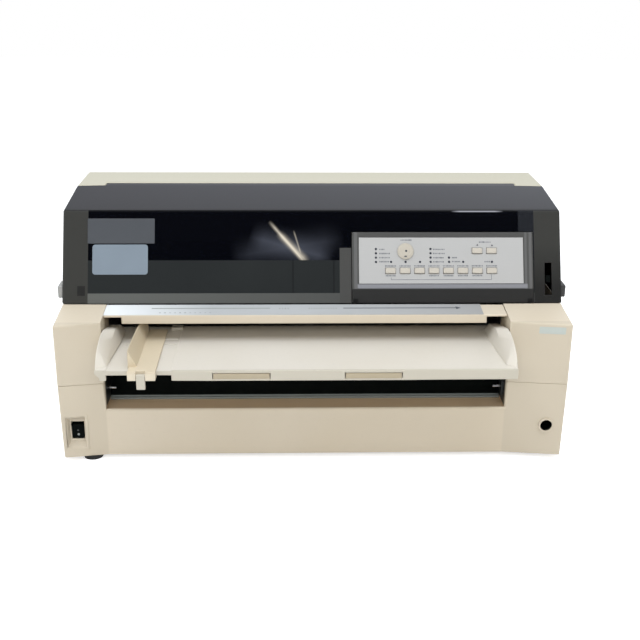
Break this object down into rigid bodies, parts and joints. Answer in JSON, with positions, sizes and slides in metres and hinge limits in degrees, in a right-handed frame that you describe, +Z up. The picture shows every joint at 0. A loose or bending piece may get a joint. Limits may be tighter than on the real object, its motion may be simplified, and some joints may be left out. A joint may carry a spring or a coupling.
{
  "type": "dot matrix printer",
  "caption": "Wide-carriage dot matrix printer with a hinged smoked cover, a front paper table with a sliding sheet guide, an operator panel, side pods and a rear paper flap.",
  "frame": {"origin": "on the desk, under the centre of the printer's bounding box", "axes": "+X to the operator's right along the carriage, +Y from the front to the back, +Z up"},
  "size_m": [0.586, 0.382, 0.279],
  "materials": {
    "case_lower": "fine-textured ivory moulding, slightly yellowed",
    "case_upper": "fine-textured ivory moulding",
    "table_plastic": "fine-textured pale moulding",
    "tan_plastic": "satin tan moulding",
    "smoked_cover": "smoked plastic, glossy window in a matte grey border",
    "tab_plastic": "matte grey moulding",
    "panel_grey": "matte dark grey moulding",
    "silver_film": "satin silver film",
    "key_plastic": "satin ivory moulding",
    "circuit_board": "green solder mask",
    "black_plastic": "matte black moulding",
    "gear_plastic": "white acetal",
    "rubber": "black rubber",
    "steel": "ground steel",
    "zinc_plate": "zinc-plated sheet steel",
    "motor_steel": "black painted steel",
    "cast_alloy": "black anodised die casting",
    "brass": "turned brass"
  },
  "bodies": {
    "casing": {"lower_case": "case_lower", "upper_case": "case_upper", "cover_hinge_pins": "steel", "panel_housing": "panel_grey", "panel_overlay": "silver_film", "indicator_board": "circuit_board", "front_bar": "case_lower", "scale_strip": "silver_film", "front_guide_plate": "black_plastic", "tractor_studs": "steel", "left_side_frame": "zinc_plate", "right_side_frame": "zinc_plate", "carriage_shaft": "steel", "carriage_rail": "zinc_plate", "drive_belt": "rubber", "carriage_motor": "motor_steel", "line_feed_motor": "motor_steel", "tractor_support_shaft": "steel", "paper_pan": "zinc_plate", "main_board": "circuit_board", "power_supply": "zinc_plate", "power_inlet": "black_plastic", "rubber_feet": "rubber", "case_screws": "steel"},
    "cover": {"front_cover": "smoked_cover", "cover_lift_tabs": "tab_plastic"},
    "back_flap": {"rear_flap": "case_upper"},
    "table": {"paper_table": "table_plastic", "left_table_guide": "table_plastic", "right_table_guide": "table_plastic"},
    "side_guide": {"sheet_guide": "tan_plastic"},
    "lock_lever": {"guide_lock": "table_plastic"},
    "left_support": {"sheet_support_left": "tan_plastic"},
    "right_support": {"sheet_support_right": "tan_plastic"},
    "dial": {"mode_dial": "key_plastic"},
    "feed_rollers": {"feed_roller_shaft": "rubber"},
    "print_carriage": {"carriage": "black_plastic", "print_head": "cast_alloy", "ribbon_cartridge": "black_plastic"},
    "winding_knob": {"ribbon_knob": "gear_plastic"},
    "motor_pulley": {"drive_pulley": "steel"},
    "end_pulley": {"idler_pulley": "gear_plastic"},
    "platen_roller": {"platen": "rubber", "platen_gear": "gear_plastic"},
    "pinion": {"motor_pinion": "brass"},
    "gap_lever": {"thickness_lever": "black_plastic"},
    "left_tractor": {"tractor_left": "black_plastic"},
    "right_tractor": {"tractor_right": "black_plastic"},
    "tractor_drive": {"tractor_drive_shaft": "steel"},
    "rocker": {"power_rocker": "black_plastic"},
    "key_1_cap": {"key_1": "key_plastic"},
    "key_2_cap": {"key_2": "key_plastic"},
    "key_3_cap": {"key_3": "key_plastic"},
    "key_4_cap": {"key_4": "key_plastic"},
    "key_5_cap": {"key_5": "key_plastic"},
    "key_6_cap": {"key_6": "key_plastic"},
    "key_7_cap": {"key_7": "key_plastic"},
    "key_8_cap": {"key_8": "key_plastic"},
    "key_up_cap": {"key_up": "key_plastic"},
    "key_down_cap": {"key_down": "key_plastic"}
  },
  "joints": [
    {"name": "cover_hinge", "type": "hinge", "parent": "casing", "child": "cover", "pos_m": [0, 0.073, 0.274], "axis": [-1, 0, 0], "range_deg": [0, 80]},
    {"name": "back_flap_hinge", "type": "hinge", "parent": "casing", "child": "back_flap", "pos_m": [0, 0.14203, 0.27085], "axis": [1, 0, 0], "range_deg": [0, 60]},
    {"name": "table_slide", "type": "slide", "parent": "casing", "child": "table", "axis": [0, -1, 0], "range_m": [0, 0.045]},
    {"name": "sheet_guide_slide", "type": "slide", "parent": "table", "child": "side_guide", "axis": [1, 0, 0], "range_m": [-0.014, 0.014]},
    {"name": "guide_lock_hinge", "type": "hinge", "parent": "side_guide", "child": "lock_lever", "pos_m": [-0.1846, -0.1884, 0.133], "axis": [-1, 0, 0], "range_deg": [0, 35]},
    {"name": "left_support_slide", "type": "slide", "parent": "table", "child": "left_support", "axis": [0, -1, 0], "range_m": [0, 0.06]},
    {"name": "right_support_slide", "type": "slide", "parent": "table", "child": "right_support", "axis": [0, -1, 0], "range_m": [0, 0.06]},
    {"name": "mode_dial_turn", "type": "hinge", "parent": "casing", "child": "dial", "pos_m": [0.1063, -0.04813, 0.22688], "axis": [0, -0.9099, 0.4148], "range_deg": [-150, 150]},
    {"name": "key_1_press", "type": "slide", "parent": "casing", "child": "key_1_cap", "axis": [0, 0.9099, -0.4148], "range_m": [0, 0.0012], "stiffness_N_per_m": 250, "springref_m": -0.001},
    {"name": "key_2_press", "type": "slide", "parent": "casing", "child": "key_2_cap", "axis": [0, 0.9099, -0.4148], "range_m": [0, 0.0012], "stiffness_N_per_m": 250, "springref_m": -0.001},
    {"name": "key_3_press", "type": "slide", "parent": "casing", "child": "key_3_cap", "axis": [0, 0.9099, -0.4148], "range_m": [0, 0.0012], "stiffness_N_per_m": 250, "springref_m": -0.001},
    {"name": "key_4_press", "type": "slide", "parent": "casing", "child": "key_4_cap", "axis": [0, 0.9099, -0.4148], "range_m": [0, 0.0012], "stiffness_N_per_m": 250, "springref_m": -0.001},
    {"name": "key_5_press", "type": "slide", "parent": "casing", "child": "key_5_cap", "axis": [0, 0.9099, -0.4148], "range_m": [0, 0.0012], "stiffness_N_per_m": 250, "springref_m": -0.001},
    {"name": "key_6_press", "type": "slide", "parent": "casing", "child": "key_6_cap", "axis": [0, 0.9099, -0.4148], "range_m": [0, 0.0012], "stiffness_N_per_m": 250, "springref_m": -0.001},
    {"name": "key_7_press", "type": "slide", "parent": "casing", "child": "key_7_cap", "axis": [0, 0.9099, -0.4148], "range_m": [0, 0.0012], "stiffness_N_per_m": 250, "springref_m": -0.001},
    {"name": "key_8_press", "type": "slide", "parent": "casing", "child": "key_8_cap", "axis": [0, 0.9099, -0.4148], "range_m": [0, 0.0012], "stiffness_N_per_m": 250, "springref_m": -0.001},
    {"name": "key_up_press", "type": "slide", "parent": "casing", "child": "key_up_cap", "axis": [0, 0.9099, -0.4148], "range_m": [0, 0.0012], "stiffness_N_per_m": 250, "springref_m": -0.001},
    {"name": "key_down_press", "type": "slide", "parent": "casing", "child": "key_down_cap", "axis": [0, 0.9099, -0.4148], "range_m": [0, 0.0012], "stiffness_N_per_m": 250, "springref_m": -0.001},
    {"name": "platen_turn", "type": "hinge", "parent": "casing", "child": "platen_roller", "pos_m": [0, 0.019, 0.118], "axis": [1, 0, 0], "continuous": true},
    {"name": "pinion_turn", "type": "hinge", "parent": "casing", "child": "pinion", "pos_m": [0.229, 0.04559, 0.09141], "axis": [1, 0, 0], "continuous": true},
    {"name": "feed_roller_turn", "type": "hinge", "parent": "casing", "child": "feed_rollers", "pos_m": [0, -0.0283, 0.1526], "axis": [1, 0, 0], "continuous": true},
    {"name": "tractor_drive_turn", "type": "hinge", "parent": "casing", "child": "tractor_drive", "pos_m": [0, 0.15, 0.152], "axis": [1, 0, 0], "continuous": true},
    {"name": "carriage_travel", "type": "slide", "parent": "casing", "child": "print_carriage", "axis": [1, 0, 0], "range_m": [-0.065, 0.265]},
    {"name": "ribbon_knob_turn", "type": "hinge", "parent": "print_carriage", "child": "winding_knob", "pos_m": [-0.064, 0.046, 0.202], "axis": [0, 0, 1], "continuous": true},
    {"name": "drive_pulley_turn", "type": "hinge", "parent": "casing", "child": "motor_pulley", "pos_m": [-0.215, 0.062, 0.18], "axis": [0, 1, 0], "continuous": true},
    {"name": "idler_pulley_turn", "type": "hinge", "parent": "casing", "child": "end_pulley", "pos_m": [0.2, 0.062, 0.18], "axis": [0, 1, 0], "continuous": true},
    {"name": "thickness_lever_turn", "type": "hinge", "parent": "casing", "child": "gap_lever", "pos_m": [0.272, 0.011, 0.17], "axis": [1, 0, 0], "range_deg": [-8, 8]},
    {"name": "left_tractor_slide", "type": "slide", "parent": "casing", "child": "left_tractor", "axis": [1, 0, 0], "range_m": [-0.035, 0.1]},
    {"name": "right_tractor_slide", "type": "slide", "parent": "casing", "child": "right_tractor", "axis": [1, 0, 0], "range_m": [-0.1, 0.06]},
    {"name": "power_rocker_tilt", "type": "hinge", "parent": "casing", "child": "rocker", "pos_m": [-0.26985, -0.109, 0.0353], "axis": [-1, 0, 0], "range_deg": [0, 12]}
  ],
  "couplings": [
    {"joint": "pinion_turn", "follows": "platen_turn", "ratio": -4},
    {"joint": "feed_roller_turn", "follows": "platen_turn", "ratio": -1.0526},
    {"joint": "tractor_drive_turn", "follows": "platen_turn", "ratio": -1.2143},
    {"joint": "drive_pulley_turn", "follows": "carriage_travel", "rad_per_m": -90.909},
    {"joint": "idler_pulley_turn", "follows": "carriage_travel", "rad_per_m": -90.909}
  ]
}
